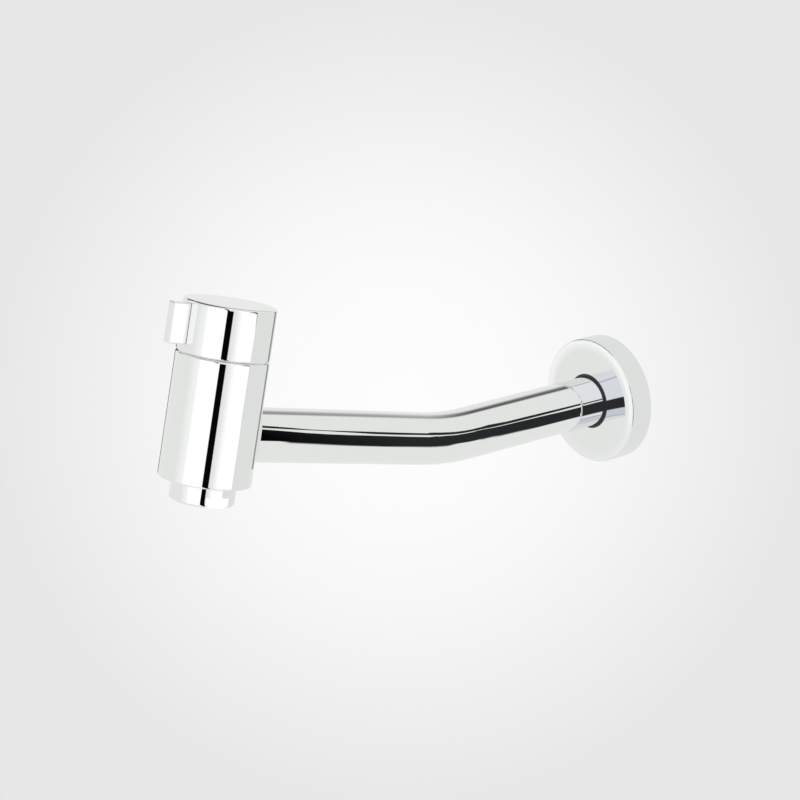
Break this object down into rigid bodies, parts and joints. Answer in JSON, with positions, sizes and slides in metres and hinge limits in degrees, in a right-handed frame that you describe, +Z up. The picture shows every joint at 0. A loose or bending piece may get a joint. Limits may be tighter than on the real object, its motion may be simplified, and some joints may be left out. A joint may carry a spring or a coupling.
{
  "type": "wall-mounted tap",
  "caption": "Chromed wall-mounted tap: a bent round spout tube with a flange at the wall and, at its free end, a cylindrical valve head with a turning knob, lever tab and aerator.",
  "frame": {"origin": "centre of the inlet thread in the plane of the finished wall", "axes": "+Y into the wall along the inlet thread, +Z up, the spout standing out of the wall towards -Y"},
  "size_m": [0.063, 0.2796, 0.1245],
  "materials": {
    "polished_chrome": "polished chrome plating on brass",
    "bare_brass": "turned brass",
    "stainless_steel": "plain stainless steel",
    "black_rubber": "matt black rubber",
    "grey_foam": "closed-cell foam",
    "white_ceramic": "lapped alumina",
    "clear_slip_plastic": "slippery plastic",
    "black_plastic": "moulded plastic",
    "grey_plastic": "moulded plastic"
  },
  "bodies": {
    "spout": {"spout_tube": "polished_chrome", "wall_nipple": "bare_brass", "nipple_orings": "black_rubber", "tail_bush": "bare_brass", "tail_screw": "stainless_steel", "head_body": "polished_chrome", "cartridge_housing": "bare_brass", "cartridge_oring": "black_rubber", "seat_seal": "black_rubber", "fixed_disc": "white_ceramic", "aerator_shell": "polished_chrome", "aerator_cage": "grey_plastic", "aerator_screens": "stainless_steel", "flow_restrictor": "grey_plastic", "aerator_gasket": "black_rubber", "guide_ring": "clear_slip_plastic"},
    "knob": {"knob": "polished_chrome", "lever_tab": "polished_chrome", "knob_insert": "black_plastic", "knob_screw": "stainless_steel", "spindle": "bare_brass", "spindle_orings": "black_rubber", "slip_washer": "clear_slip_plastic", "spindle_clip": "stainless_steel", "turning_disc": "white_ceramic"},
    "flange": {"wall_flange": "polished_chrome", "flange_ring": "black_rubber", "flange_seal": "grey_foam"}
  },
  "joints": [
    {"name": "knob_turn", "type": "hinge", "parent": "spout", "child": "knob", "pos_m": [0, -0.23954, 0.03037], "axis": [0, 0.225, 0.9744], "range_deg": [0, 90]},
    {"name": "flange_slide", "type": "slide", "parent": "spout", "child": "flange", "axis": [0, -1, 0], "range_m": [0, 0.06]}
  ]
}
